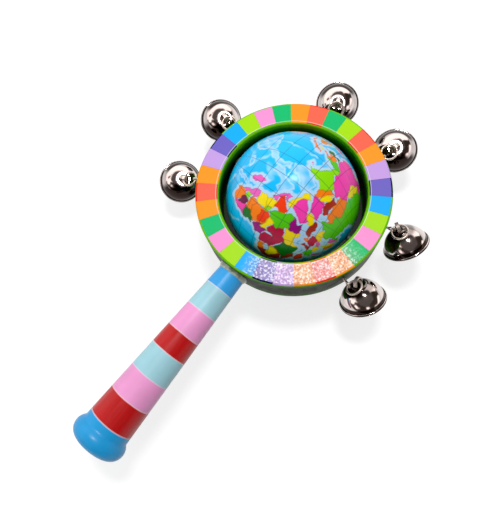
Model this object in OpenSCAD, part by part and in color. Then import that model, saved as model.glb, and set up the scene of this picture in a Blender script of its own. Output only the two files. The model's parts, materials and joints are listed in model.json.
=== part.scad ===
// Handled bell rattle: a painted wooden ring with a spinning globe ball in it,
// a turned striped handle, and six small bells on jump rings round the rim.
// Millimetres. The origin is the centre of the handle's flat butt end, +X runs
// along the handle to the ring, +Z comes out of the ring's front face.

/* [Ring] */
// Width of the wooden ring, from its opening to its outer wall
ring_w = 12.2; // [10:0.1:16]
// Thickness of the wooden ring without its printed faces
ring_t = 25.6; // [22:0.2:32]
// Rounding of the opening's two edges
bore_round = 1.2; // [0.6:0.1:2]
// Rounding of the outer edges
rim_round = 0.9; // [0.5:0.1:1.5]
// Thickness of each printed face
print_t = 0.2; // [0.1:0.05:0.4]
// Bare margin between the printed face and the outer rounding
print_margin = 0.1; // [0:0.05:0.5]

/* [Handle] */
// Visible length of the handle, from the butt to the ring's wall
handle_len = 108; // [90:1:130]
// Diameter where the handle meets the ring
neck_d = 14.7; // [12:0.1:16]
// Diameter of the grip just before the knob
grip_d = 24.4; // [20:0.1:26]
// Largest diameter of the end knob
knob_d = 28.6; // [27:0.1:32]
// Radius of the knob's rounded edge
knob_round = 5.4; // [4:0.1:6]
// Radius of the hollow between the knob and the grip
cove_r = 2.5; // [1.5:0.1:4]
// Distance from the butt to the bottom of that hollow
knob_len = 10.76; // [10.5:0.01:14]
// Diameter of the tenon glued into the ring
tenon_d = 8; // [6:0.5:9]
// Wood left between the tenon's end and the ring's opening
tenon_wall = 3.2; // [2:0.1:6]
// Diameter of the glue collar at the ring's wall
collar_d = 17; // [15.5:0.1:19]
// Length of the glue collar along the handle
collar_len = 2.1; // [1.5:0.1:3]

/* [Globe] */
// Diameter of the globe ball
globe_d = 70.6; // [60:0.2:90]
// Gap between the ball and the ring's opening
globe_gap = 2.5; // [1.5:0.1:4]
// Wall of the moulded ball
globe_wall = 2; // [1.5:0.1:3]
// Height of the lip that locates the two halves
lip_len = 2.4; // [1.5:0.1:4]
// Diameter of the steel axle
axle_d = 3; // [2:0.1:4]
// Outside diameter of the pole bushes
bush_d = 6; // [5:0.1:8]
// Length of each pole bush
bush_len = 8; // [5:0.5:12]
// Flange diameter of each pole bush
bush_flange_d = 8.4; // [7.5:0.1:11]
// Outside diameter of the spacers between the ball and the ring
spacer_d = 5; // [4:0.1:6]
// End play of the ball between its spacers, each side
end_play = 0.3; // [0.1:0.05:0.6]
// Length of the wooden plug over each axle end
plug_len = 2.5; // [1.5:0.1:4]

/* [Bells] */
// Diameter of a bell at its lip
bell_d = 24.4; // [22:0.2:26]
// Sheet thickness of a bell
bell_wall = 0.6; // [0.5:0.05:0.9]
// Radius of the rolled lip
bead_r = 0.75; // [0.5:0.05:1]
// Diameter of the raised shoulder round the bail
shoulder_d = 7.6; // [7:0.1:10]
// Height of the raised shoulder over the dome
shoulder_h = 0.35; // [0.2:0.05:0.6]
// Width of the flat strap of the bail
strap_w = 1.8; // [1.4:0.1:2.2]
// Thickness of the strap
strap_t = 0.8; // [0.6:0.05:1]
// Inside radius of the bail's arch
bail_r = 2.2; // [1.8:0.1:2.6]
// Height of the bail over the crown, measured inside
bail_h = 3.2; // [3:0.1:4.5]
// Diameter of the clapper ball
clapper_d = 4.8; // [3.5:0.1:5.6]
// Distance from the clapper's pivot to the ball's centre
clapper_reach = 6.2; // [5.5:0.1:6.6]
// Wire diameter of the clapper
clapper_wire_d = 0.7; // [0.5:0.05:0.8]

/* [Rings and eyes] */
// Wire diameter of a jump ring
link_wire_d = 1.1; // [0.8:0.05:1.2]
// Diameter of a jump ring at the middle of its wire
link_d = 8; // [7:0.1:9]
// Wire diameter of a screw eye
eye_wire_d = 0.9; // [0.8:0.05:1.1]
// Inside diameter of a screw eye's loop
eye_hole_d = 2.6; // [2.5:0.1:2.8]
// Gap between the ring's wall and the loop
eye_stand = 1.4; // [1.2:0.1:1.8]
// Wood left between the screw eyes' points and the ring's opening
shank_wall = 4.2; // [2:0.1:6]
// Shank diameter
shank_d = 1.3; // [1:0.1:1.8]

/* [Fits] */
// Radial clearance of parts that turn
run_fit = 0.05; // [0.02:0.01:0.1]
// Radial clearance of glued and pressed parts
glue_fit = 0.02; // [0.01:0.01:0.05]
// Play between a wire and the loop that it hangs in
wire_play = 0.3; // [0.25:0.01:0.35]

/* [Hidden] */
BELLS = [1, 2, 3, 4, 5, 6];
$fn = 96;
fine_fn = 480;

// Paints
violet = [0.42, 0.37, 0.78];
lilac = [0.78, 0.64, 0.91];
orange = [1.0, 0.6, 0.12];
coral = [1.0, 0.39, 0.29];
lime = [0.67, 0.89, 0.02];
green = [0.04, 0.76, 0.43];
pink = [0.98, 0.62, 0.84];
sky = [0.0, 0.68, 1.0];
red = [0.8, 0.0, 0.0];
aqua = [0.67, 0.84, 0.88];
blue = [0.04, 0.58, 0.86];
ring_green = [0.33, 0.62, 0.05];
sea = [0.0, 0.68, 0.96];
nickel = [0.72, 0.7, 0.68];
steel = [0.75, 0.75, 0.76];
glue_grey = [0.62, 0.64, 0.6];
nylon = [0.9, 0.9, 0.87];
wood = [0.85, 0.7, 0.5];

// The painted segments, counter-clockwise from the phase angle
SEGMENTS = [
    violet, lilac, orange, coral, lime, green, coral, orange, green, pink,
    lime, sky, violet, lilac, orange, coral, orange, green, pink, lime,
    sky, violet, lilac, orange, coral, orange, green, pink, lime, sky
];
segment_phase = -58;
segment_angle = 360 / len(SEGMENTS);
segment_gap_angle = 0.1;

// The handle's stripes: where each ends, as a share of the visible length
STRIPES = [blue, red, pink, aqua, red, pink, aqua, sky];
stripe_end_shares = [0.13, 0.26, 0.39, 0.522, 0.63, 0.76, 0.89, 1];

// Where each bell hangs, and how it lies at rest, all in degrees.
// eye_angles: the screw eye's place round the ring, from the +X side
// link_yaws: the jump ring's swing along the wall
// link_pitches: the jump ring's lift towards the front
// bell_turns: the bail's place on the jump ring, 0 at the ring's far end
// bell_tilts: how far the bell's mouth has dropped from the jump ring's plane
// bell_leans: how far the bell leans along the wire
eye_angles = [114, 74.5, 11.7, -26.8, -71.1, -111.8];
link_yaws = [-2, -1, 11.4, 12.4, -14.6, 25.5];
link_pitches = [-19, 6, 31.5, 16, 22, 39.5];
bell_turns = [0, 0, 0, 0, 137.2, 100.6];
bell_tilts = [47, 65, 92.9, 85.1, 114.9, 107];
bell_leans = [-9, 1, 2.5, 7.5, -4.5, 7.6];

cut = 0.5;
globe_r = globe_d / 2;
bore_r = globe_r + globe_gap;
ring_r = bore_r + ring_w;
face_z = ring_t / 2;
ring_x = handle_len + ring_r;
print_in_r = bore_r + bore_round;
print_out_r = ring_r - rim_round - print_margin;
neck_r = neck_d / 2;
collar_edge = 0.2;
grip_r = grip_d / 2;
knob_r = knob_d / 2;
tenon_len = ring_w - tenon_wall;
shank_len = ring_w - shank_wall;
axle_r = axle_d / 2;
axle_sink = 0.3;
axle_len = 2 * (ring_r - plug_len - axle_sink);
lip_r = globe_r - globe_wall / 2;
bush_sink = 0.5;
pole_y = globe_r - bush_sink;
bush_flange_t = 1;
boss_wall = 1.5;
boss_r = bush_d / 2 + boss_wall;
eye_wire_r = eye_wire_d / 2;
eye_mean_r = eye_hole_d / 2 + eye_wire_r;
eye_r = ring_r + eye_stand + eye_mean_r + eye_wire_r;
link_wire_r = link_wire_d / 2;
link_mean_r = link_d / 2;
link_gap_angle = 3;
pivot_r = eye_r + eye_hole_d / 2 - link_wire_r - wire_play;

// Along a bell's axis, from the wire that it hangs on towards its mouth
arch_z = bail_r - link_wire_r - wire_play;
crown_z = bail_h - link_wire_r - wire_play;
dome_top_z = crown_z + shoulder_h;
dome_r = bell_d / 2 - bead_r;
mouth_z = dome_top_z + dome_r;
bar_drop = 3.1;
bar_z = crown_z + bar_drop;
low_arch_z = bar_z - bail_r - strap_t / 2;
clapper_wire_r = clapper_wire_d / 2;
clapper_r = clapper_d / 2;
clapper_sink_share = 0.5;
clapper_sink = clapper_sink_share * clapper_r;
clapper_eye_r = sqrt(pow(strap_w / 2, 2) + pow(strap_t / 2, 2)) + wire_play + clapper_wire_r;

// Places
module at_ring() {
    translate([ring_x, 0, 0]) children();
}

module at_eye(i) {
    at_ring() rotate([0, 0, eye_angles[i]]) children();
}

module at_link(i) {
    at_eye(i) translate([pivot_r, 0, 0]) rotate([0, -link_pitches[i], link_yaws[i]]) children();
}

module at_bell(i) {
    at_link(i)
        translate([link_mean_r, 0, 0])
            rotate([0, 0, bell_turns[i]])
                translate([link_mean_r, 0, 0])
                    rotate([0, bell_tilts[i], 0])
                        rotate([0, 0, bell_leans[i]])
                            rotate([0, 90, 0])
                                children();
}

module torus(mean_r, wire_r, gap = 0) {
    rotate([0, 0, gap / 2])
        rotate_extrude(angle = 360 - gap)
            translate([mean_r, 0]) circle(wire_r);
}

// Ring
module ring_profile() {
    difference() {
        translate([bore_r, -face_z]) square([ring_r - bore_r, ring_t]);
        for (side = [-1, 1]) {
            round_corner(bore_r, side * face_z, bore_round, 1, -side);
            round_corner(ring_r, side * face_z, rim_round, -1, -side);
        }
    }
}

module round_corner(x, y, r, x_in, y_in) {
    translate([x, y]) difference() {
        translate([min(x_in * r, -x_in * cut), min(y_in * r, -y_in * cut)]) square(r + cut);
        translate([x_in * r, y_in * r]) circle(r);
    }
}

module ring_body() {
    color(ring_green) at_ring() difference() {
        rotate_extrude() ring_profile();
        rotate([90, 0, 0]) cylinder(r = axle_r + glue_fit, h = 2 * (ring_r + cut), center = true);
        translate([-ring_r - cut, 0, 0])
            rotate([0, 90, 0]) cylinder(d = tenon_d + 2 * glue_fit, h = tenon_len + 2 * cut);
        for (a = eye_angles)
            rotate([0, 0, a])
                translate([ring_r - shank_len - cut, 0, 0])
                    rotate([0, 90, 0]) cylinder(d = shank_d + 2 * glue_fit, h = shank_len + 2 * cut);
    }
}

module printed_face() {
    for (k = [0 : len(SEGMENTS) - 1])
        color(SEGMENTS[k])
            rotate([0, 0, segment_phase + k * segment_angle])
                rotate_extrude(angle = segment_angle - segment_gap_angle)
                    translate([print_in_r, 0]) square([print_out_r - print_in_r, print_t]);
}

module front_print() {
    at_ring() translate([0, 0, face_z]) printed_face();
}

module back_print() {
    at_ring() translate([0, 0, -face_z - print_t]) printed_face();
}

// Handle: its profile has the axis along X and the radius along Y
knob_mid_r = knob_r - knob_round;
cove_y = grip_r + cove_r;

function taper_r(x) = grip_r + (neck_r - grip_r) * (x - knob_len) / (handle_len - knob_len);

module handle_profile() {
    translate([knob_round, knob_mid_r]) circle(knob_round);
    square([knob_round, knob_mid_r]);
    polygon([[knob_len, 0], [knob_len, grip_r], [handle_len, neck_r], [handle_len, 0]]);
    difference() {
        polygon([[knob_round, 0], [knob_round, knob_mid_r], [knob_len, cove_y], [knob_len, 0]]);
        translate([knob_len, cove_y]) circle(cove_r);
    }
}

module handle() {
    borders = [for (share = concat([0], stripe_end_shares)) share * handle_len];
    for (k = [0 : len(STRIPES) - 1])
        color(STRIPES[k])
            rotate([0, 90, 0])
                rotate_extrude()
                    intersection() {
                        mirror([1, -1]) handle_profile();
                        polygon([
                            [0, borders[k]], [knob_d, borders[k]],
                            [knob_d, borders[k + 1]], [0, borders[k + 1]]
                        ]);
                    }
    color(wood)
        translate([handle_len - cut, 0, 0])
            rotate([0, 90, 0]) cylinder(d = tenon_d, h = tenon_len + cut);
}

module glue_collar() {
    start_x = handle_len - collar_len;
    end_x = handle_len + ring_r - sqrt(pow(ring_r, 2) - pow(collar_d / 2, 2)) + cut;
    color(glue_grey) difference() {
        rotate([0, 90, 0])
            rotate_extrude($fn = fine_fn)
                mirror([1, -1])
                    polygon([
                        [start_x, taper_r(start_x)], [start_x, taper_r(start_x) + collar_edge],
                        [handle_len, collar_d / 2], [end_x, collar_d / 2], [end_x, neck_r],
                        [handle_len, neck_r]
                    ]);
        at_ring() cylinder(r = ring_r, h = ring_t, center = true, $fn = fine_fn);
    }
}

// Globe: the poles lie on the Y axis, north at -Y. Each half's profile has the
// distance from the axle along X and the height over the equator along Y.
module at_pole(side) {
    at_ring() rotate([-90 * side, 0, 0]) children();
}

module globe_wall_profile() {
    difference() {
        union() {
            intersection() {
                circle(globe_r);
                square(globe_r);
            }
            translate([0, pole_y - bush_len]) square([boss_r, bush_len - globe_wall / 2]);
        }
        difference() {
            circle(globe_r - globe_wall);
            translate([0, pole_y - bush_len]) square([boss_r, bush_len]);
        }
        square([bush_d / 2 + glue_fit, globe_d]);
    }
}

module globe_north_half() {
    color(sea) at_pole(-1) rotate_extrude() difference() {
        globe_wall_profile();
        translate([0, -cut]) square([lip_r + glue_fit, lip_len + glue_fit + cut]);
    }
}

module globe_south_half() {
    color(sea) at_pole(1) rotate_extrude() {
        globe_wall_profile();
        translate([globe_r - globe_wall, -lip_len])
            square([lip_r - globe_r + globe_wall, lip_len + cut]);
    }
}

module pole_bush(side) {
    color(nylon) at_pole(side) difference() {
        union() {
            translate([0, 0, pole_y - bush_len]) cylinder(d = bush_d, h = bush_len);
            translate([0, 0, pole_y - bush_len - bush_flange_t])
                cylinder(d = bush_flange_d, h = bush_flange_t);
        }
        cylinder(r = axle_r + run_fit, h = globe_d);
    }
}

module north_bush() { pole_bush(-1); }
module south_bush() { pole_bush(1); }

module globe_axle() {
    color(steel) at_ring() rotate([90, 0, 0]) cylinder(r = axle_r, h = axle_len, center = true);
}

module spacer(side) {
    start = globe_r + end_play;
    length = bore_r - end_play - start;
    color(nylon) at_pole(side) translate([0, 0, start]) difference() {
        cylinder(d = spacer_d, h = length);
        translate([0, 0, -cut]) cylinder(r = axle_r + glue_fit, h = length + 2 * cut);
    }
}

module north_spacer() { spacer(-1); }
module south_spacer() { spacer(1); }

module axle_plug(side) {
    color(ring_green) at_pole(side)
        translate([0, 0, ring_r - plug_len - axle_sink]) cylinder(r = axle_r, h = plug_len);
}

module north_axle_plug() { axle_plug(-1); }
module south_axle_plug() { axle_plug(1); }

// Screw eyes and jump rings
module screw_eye(i) {
    point_len = shank_d;
    neck_start = eye_r - eye_mean_r;
    color(nickel) at_eye(i) {
        translate([eye_r, 0, 0]) rotate([90, 0, 0]) torus(eye_mean_r, eye_wire_r);
        translate([ring_r - shank_len + point_len, 0, 0])
            rotate([0, 90, 0]) cylinder(d = shank_d, h = neck_start - ring_r + shank_len - point_len);
        translate([ring_r - shank_len, 0, 0])
            rotate([0, 90, 0]) cylinder(d1 = 0, d2 = shank_d, h = point_len);
    }
}

module jump_ring(i) {
    color(nickel) at_link(i)
        translate([link_mean_r, 0, 0])
            rotate([0, 0, -90]) torus(link_mean_r, link_wire_r, link_gap_angle);
}

// Bells, drawn with the mouth towards +Z and the wire that they hang on at the origin
module strap_outline(grow) {
    half = bail_r + grow;
    translate([0, arch_z]) circle(half);
    translate([0, low_arch_z]) circle(half);
    translate([-half, arch_z]) square([2 * half, low_arch_z - arch_z]);
}

module strap(play = 0) {
    rotate([90, 0, 0])
        linear_extrude(strap_w + 2 * play, center = true)
            difference() {
                strap_outline(strap_t + play);
                strap_outline(-play);
            }
}

module bell_shell(i) {
    color(nickel) at_bell(i) difference() {
        union() {
            rotate_extrude() {
                difference() {
                    intersection() {
                        translate([0, mouth_z]) circle(dome_r);
                        translate([0, dome_top_z]) square(dome_r);
                    }
                    translate([0, mouth_z]) circle(dome_r - bell_wall);
                }
                translate([dome_r, mouth_z - bead_r]) circle(bead_r);
            }
            translate([0, 0, crown_z]) cylinder(d = shoulder_d, h = shoulder_h + bell_wall);
        }
        translate([0, 0, mouth_z]) sphere(dome_r - bell_wall);
        strap(glue_fit);
    }
}

module bell_bail(i) {
    color(nickel) at_bell(i) strap();
}

module clapper_wire(i) {
    ball_top = bar_z + clapper_reach - clapper_r;
    stem_start = bar_z + clapper_eye_r;
    color(steel) at_bell(i) {
        translate([0, 0, bar_z]) rotate([0, 90, 0]) torus(clapper_eye_r, clapper_wire_r);
        translate([0, 0, stem_start])
            cylinder(r = clapper_wire_r, h = ball_top + clapper_sink - stem_start);
    }
}

module clapper_ball(i) {
    color(steel) at_bell(i) difference() {
        translate([0, 0, bar_z + clapper_reach]) sphere(clapper_r);
        translate([0, 0, bar_z])
            cylinder(r = clapper_wire_r + glue_fit, h = clapper_reach - clapper_r + clapper_sink + glue_fit);
    }
}

ring_body();
front_print();
back_print();
handle();
glue_collar();
globe_north_half();
globe_south_half();
north_bush();
south_bush();
globe_axle();
north_spacer();
south_spacer();
north_axle_plug();
south_axle_plug();
for (n = BELLS) {
    screw_eye(n - 1);
    jump_ring(n - 1);
    bell_shell(n - 1);
    bell_bail(n - 1);
    clapper_wire(n - 1);
    clapper_ball(n - 1);
}
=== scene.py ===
"""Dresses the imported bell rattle: paint, printed faces, the globe's map, nickel bells, light and camera.

Everything is in metres and in the part's own frame: +X runs along the handle to
the ring, +Z comes out of the ring's front face, and the globe's axle lies on Y.
"""
import json
import math

import bmesh
import bpy
import numpy as np
from mathutils import Matrix, Vector


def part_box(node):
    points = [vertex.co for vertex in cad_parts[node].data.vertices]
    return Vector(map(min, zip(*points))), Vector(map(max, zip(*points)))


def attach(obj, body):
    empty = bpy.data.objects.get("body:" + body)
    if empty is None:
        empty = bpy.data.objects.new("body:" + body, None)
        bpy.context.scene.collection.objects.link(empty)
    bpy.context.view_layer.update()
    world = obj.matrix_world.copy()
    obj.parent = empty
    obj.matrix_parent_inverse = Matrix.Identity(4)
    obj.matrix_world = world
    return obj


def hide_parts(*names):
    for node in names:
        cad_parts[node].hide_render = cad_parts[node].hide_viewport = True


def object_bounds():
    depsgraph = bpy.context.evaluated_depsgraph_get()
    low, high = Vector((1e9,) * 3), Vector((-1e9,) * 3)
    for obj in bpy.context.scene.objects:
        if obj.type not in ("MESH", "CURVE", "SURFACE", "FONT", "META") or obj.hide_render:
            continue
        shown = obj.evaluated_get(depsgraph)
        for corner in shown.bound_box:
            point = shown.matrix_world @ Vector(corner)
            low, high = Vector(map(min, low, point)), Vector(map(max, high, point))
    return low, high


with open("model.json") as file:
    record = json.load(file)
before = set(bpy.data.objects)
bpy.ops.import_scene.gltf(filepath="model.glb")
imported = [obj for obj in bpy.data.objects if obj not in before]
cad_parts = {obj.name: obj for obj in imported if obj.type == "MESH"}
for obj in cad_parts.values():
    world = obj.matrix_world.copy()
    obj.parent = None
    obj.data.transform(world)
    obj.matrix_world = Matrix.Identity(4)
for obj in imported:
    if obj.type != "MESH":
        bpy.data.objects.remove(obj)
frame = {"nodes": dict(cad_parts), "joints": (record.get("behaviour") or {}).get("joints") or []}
cad_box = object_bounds()

MM = 0.001
BELLS = range(1, 7)

# Sizes read from the frame
joints = {j["name"]: j for j in frame["joints"]}
ring_centre = Vector(joints["globe_spin"]["pos_m"])
ring_low, ring_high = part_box("ring_body")
ring_r = (ring_high.x - ring_low.x) / 2
face_z = ring_high.z
globe_r = max(abs(v) for v in (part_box("globe_north_half")[0].y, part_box("globe_south_half")[1].y))
handle_len = ring_centre.x - ring_r

# Sizes that the frame's boxes don't give
PRINT_IN_R = 39.0 * MM
SEGMENT_PHASE = -58.0
SHEEN_CENTRE_SHARE = 0.783
STRIPE_END_SHARES = (0.13, 0.26, 0.39, 0.522, 0.63, 0.76, 0.89)

# Paints, as 0 to 255 screen values
VIOLET = (112, 100, 196)
LILAC = (200, 160, 228)
ORANGE = (255, 154, 30)
CORAL = (255, 103, 78)
LIME = (168, 226, 0)
GREEN = (8, 192, 110)
PINK = (250, 150, 212)
SKY = (0, 176, 255)
NAVY = (24, 10, 74)
RED_EDGE = (232, 44, 16)
BEVEL_GREEN = (112, 190, 18)

# Segments anticlockwise from the phase, seen from the front
SEGMENTS = [
    VIOLET, LILAC, ORANGE, CORAL, LIME, GREEN, CORAL, ORANGE, GREEN, PINK,
    LIME, SKY, VIOLET, LILAC, ORANGE, CORAL, ORANGE, GREEN, PINK, LIME,
    SKY, VIOLET, LILAC, ORANGE, CORAL, ORANGE, GREEN, PINK, LIME, SKY,
]
EDGE_TINTS = {VIOLET: NAVY, CORAL: RED_EDGE, ORANGE: ORANGE, LILAC: LILAC}

# Where the bevels' tint starts and is full, as depth below a face and as width beside the print
FACE_DEPTHS = (1.3 * MM, 0.7 * MM)
INNER_TINT_WIDTHS = (0.75 * MM, 0.45 * MM)
OUTER_TINT_WIDTHS = (0.1 * MM, 0.3 * MM)

# The walls' greens, each with its depth below a face as a share of half the ring's thickness; the darkening
# with depth is painted shade
PAINT_WAVER = 1.5 * MM
BORE_GREENS_AND_SHADE = [
    (0.0, (112, 190, 14)), (0.24, (84, 170, 6)), (0.36, (28, 112, 0)),
    (0.62, (4, 66, 4)), (0.8, (2, 26, 6)), (1.0, (1, 14, 6)),
]
RIM_GREENS_AND_SHADE = [
    (0.0, (100, 176, 14)), (0.16, (60, 128, 8)), (0.34, (34, 84, 6)), (0.7, (44, 46, 8)), (1.0, (26, 28, 6)),
]

# The lower segments' pebbled lacquer, with a painted sheen and painted glints for the lamp's reflection,
# its fading half-width as a share of a turn, and a painted highlight along the print's inner edge
SHEEN_FADE = (0.125, 0.085)
PAINTED_SHEEN = (240, 226, 236)
PAINTED_GLINT = (255, 252, 250)
GLINT_GAP = (90, 50, 70)
EDGE_HIGHLIGHT = (235, 250, 225)
SHEEN_SHARE = 0.2
GLINT_SHARE = 0.7
GLINT_GAP_SHARE = 0.45
EDGE_HIGHLIGHT_SHARE = 0.5
EDGE_HIGHLIGHT_WIDTHS = (0.5 * MM, 0.2 * MM)

STRIPE_BLUE = (18, 158, 222)
STRIPE_RED = (192, 0, 2)
STRIPE_PINK = (244, 160, 214)
STRIPE_AQUA = (164, 214, 226)
STRIPE_SKY = (48, 168, 240)
STRIPE_LINE = (250, 226, 232)
BARE_WOOD = (217, 178, 128)
HANDLE_SOIL = (30, 30, 40)
GLUE_DARK = (120, 132, 112)
GLUE_PALE = (186, 196, 180)
LINE_SHARE = 0.5
LINE_HALF_WIDTHS = (0.4 * MM, 0.2 * MM)
EDGE_WAVER = 0.15 * MM

# Stripes from the butt to the ring
STRIPES = [
    STRIPE_BLUE, STRIPE_RED, STRIPE_PINK, STRIPE_AQUA,
    STRIPE_RED, STRIPE_PINK, STRIPE_AQUA, STRIPE_SKY,
]


def linear(rgb):
    """A screen colour as the linear RGBA that a shader takes."""
    def one(v):
        v = v / 255
        return v / 12.92 if v <= 0.04045 else ((v + 0.055) / 1.055) ** 2.4
    return tuple(one(v) for v in rgb) + (1.0,)


class Tree:
    """A node tree with short ways to add and link its nodes."""

    def __init__(self, owner):
        owner.use_nodes = True
        self.tree = owner.node_tree
        self.tree.nodes.clear()

    def link(self, source, target):
        self.tree.links.new(source, target)

    def put(self, value, socket):
        """Links a socket, or sets a number, colour or vector."""
        if isinstance(value, bpy.types.NodeSocket):
            self.link(value, socket)
        else:
            socket.default_value = value

    def math(self, operation, a, b=0.0, c=0.0):
        node = self.tree.nodes.new("ShaderNodeMath")
        node.operation = operation
        for value, socket in zip((a, b, c), node.inputs):
            self.put(value, socket)
        return node.outputs[0]

    def noise(self, vector, scale, detail=2.0, rough=0.5):
        node = self.tree.nodes.new("ShaderNodeTexNoise")
        self.link(vector, node.inputs["Vector"])
        node.inputs["Scale"].default_value = scale
        node.inputs["Detail"].default_value = detail
        node.inputs["Roughness"].default_value = rough
        return node.outputs["Fac"]

    def ramp(self, factor, stops, mode="LINEAR"):
        node = self.tree.nodes.new("ShaderNodeValToRGB")
        node.color_ramp.interpolation = mode
        elements = node.color_ramp.elements
        while len(elements) < len(stops):
            elements.new(1.0)
        for element, (at, colour) in zip(elements, stops):
            element.position = at
            element.color = colour
        self.put(factor, node.inputs["Fac"])
        return node.outputs["Color"]

    def spread(self, value, low, high, to_low=0.0, to_high=1.0):
        """Maps low..high to to_low..to_high, smoothly and clamped."""
        node = self.tree.nodes.new("ShaderNodeMapRange")
        node.interpolation_type = "SMOOTHSTEP"
        self.put(value, node.inputs["Value"])
        for key, number in zip(("From Min", "From Max", "To Min", "To Max"), (low, high, to_low, to_high)):
            node.inputs[key].default_value = number
        return node.outputs["Result"]

    def mix(self, factor, a, b):
        node = self.tree.nodes.new("ShaderNodeMix")
        node.data_type = "RGBA"
        self.put(factor, node.inputs[0])
        self.put(a, node.inputs[6])
        self.put(b, node.inputs[7])
        return node.outputs[2]

    def axes(self, vector):
        """A vector's X, Y and Z."""
        node = self.tree.nodes.new("ShaderNodeSeparateXYZ")
        self.link(vector, node.inputs[0])
        return tuple(node.outputs)

    def bump(self, height, distance, strength=1.0, below=None):
        node = self.tree.nodes.new("ShaderNodeBump")
        node.inputs["Distance"].default_value = distance
        self.put(strength, node.inputs["Strength"])
        self.put(height, node.inputs["Height"])
        if below is not None:
            self.link(below, node.inputs["Normal"])
        return node.outputs["Normal"]


class Nodes(Tree):
    """A material's nodes round one Principled shader."""

    def __init__(self, name):
        self.material = bpy.data.materials.new(name)
        super().__init__(self.material)
        self.output = self.tree.nodes.new("ShaderNodeOutputMaterial")
        self.shader = self.tree.nodes.new("ShaderNodeBsdfPrincipled")
        self.link(self.shader.outputs["BSDF"], self.output.inputs["Surface"])

    def principled(self, **settings):
        for key, value in settings.items():
            self.put(value, self.shader.inputs[key.replace("_", " ")])
        return self.material

    def place(self, centre=(0, 0, 0)):
        """The surface point in the part's frame, from a centre."""
        coords = self.tree.nodes.new("ShaderNodeTexCoord")
        moved = self.tree.nodes.new("ShaderNodeVectorMath")
        moved.operation = "SUBTRACT"
        self.link(coords.outputs["Object"], moved.inputs[0])
        moved.inputs[1].default_value = centre
        return moved.outputs[0]

    def reach(self, x, y):
        """The distance from the Z axis."""
        squares = self.math("ADD", self.math("MULTIPLY", x, x), self.math("MULTIPLY", y, y))
        return self.math("SQRT", squares)

    def turn_share(self, x, y, phase):
        """The angle round Z from a phase in degrees, as a share of a full turn."""
        angle = self.math("ARCTAN2", y, x)
        turns = self.math("MULTIPLY_ADD", angle, 1 / math.tau, 1 - phase / 360)
        return self.math("FRACT", turns)


def constant_ramp(nodes, share, colours):
    """Equal steps of colour over 0 to 1, each read at its middle."""
    count = len(colours)
    step = nodes.math("FLOOR", nodes.math("MULTIPLY", share, count))
    middle = nodes.math("DIVIDE", nodes.math("ADD", step, 0.5), count)
    stops = [(k / count, linear(c)) for k, c in enumerate(colours)]
    return nodes.ramp(middle, stops, "CONSTANT")


def dress(material, *names):
    """Gives nodes of the part a material."""
    for name in names:
        mesh = frame["nodes"][name].data
        mesh.materials.clear()
        mesh.materials.append(material)


# Ring
def ring_paint():
    """Green paint: lime on the bevels, darker down the walls as painted shade, tinted beside the darker
    segments.
    """
    n = Nodes("ring_paint")
    p = n.place(ring_centre)
    x, y, z = n.axes(p)
    reach = n.reach(x, y)
    share = n.turn_share(x, y, SEGMENT_PHASE)
    tints = constant_ramp(n, share, [EDGE_TINTS.get(c, BEVEL_GREEN) for c in SEGMENTS])
    deep = n.math("SUBTRACT", face_z, n.math("ABSOLUTE", z))
    in_edge = n.spread(reach, *(PRINT_IN_R - width for width in INNER_TINT_WIDTHS))
    middle = n.math("LESS_THAN", reach, (PRINT_IN_R + ring_r) / 2)
    out_edge = n.spread(reach, *(ring_r - width for width in OUTER_TINT_WIDTHS))
    edge = n.mix(middle, out_edge, in_edge)
    bevel = n.mix(edge, linear(BEVEL_GREEN), tints)
    wear_and_shade = n.noise(p, 260, 3)
    uneven = n.math("MULTIPLY_ADD", wear_and_shade, 2 * PAINT_WAVER, n.math("SUBTRACT", deep, PAINT_WAVER))
    depth = n.math("DIVIDE", uneven, face_z)
    # Painted shade: the greens turn near black deeper down the bore and the rim.
    bore_paint_and_shade = n.ramp(depth, [(at, linear(tint)) for at, tint in BORE_GREENS_AND_SHADE])
    rim_paint_and_shade = n.ramp(depth, [(at, linear(tint)) for at, tint in RIM_GREENS_AND_SHADE])
    wall_paint_and_shade = n.mix(middle, rim_paint_and_shade, bore_paint_and_shade)
    on_face = n.spread(deep, *FACE_DEPTHS)
    colour = n.mix(on_face, wall_paint_and_shade, bevel)
    peel = n.noise(p, 900, 2)
    return n.principled(
        Base_Color=colour,
        Roughness=n.spread(wear_and_shade, 0.2, 0.8, 0.24, 0.38),
        Specular_IOR_Level=0.01,
        Normal=n.bump(peel, 0.05 * MM, 0.4),
    )


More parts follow.
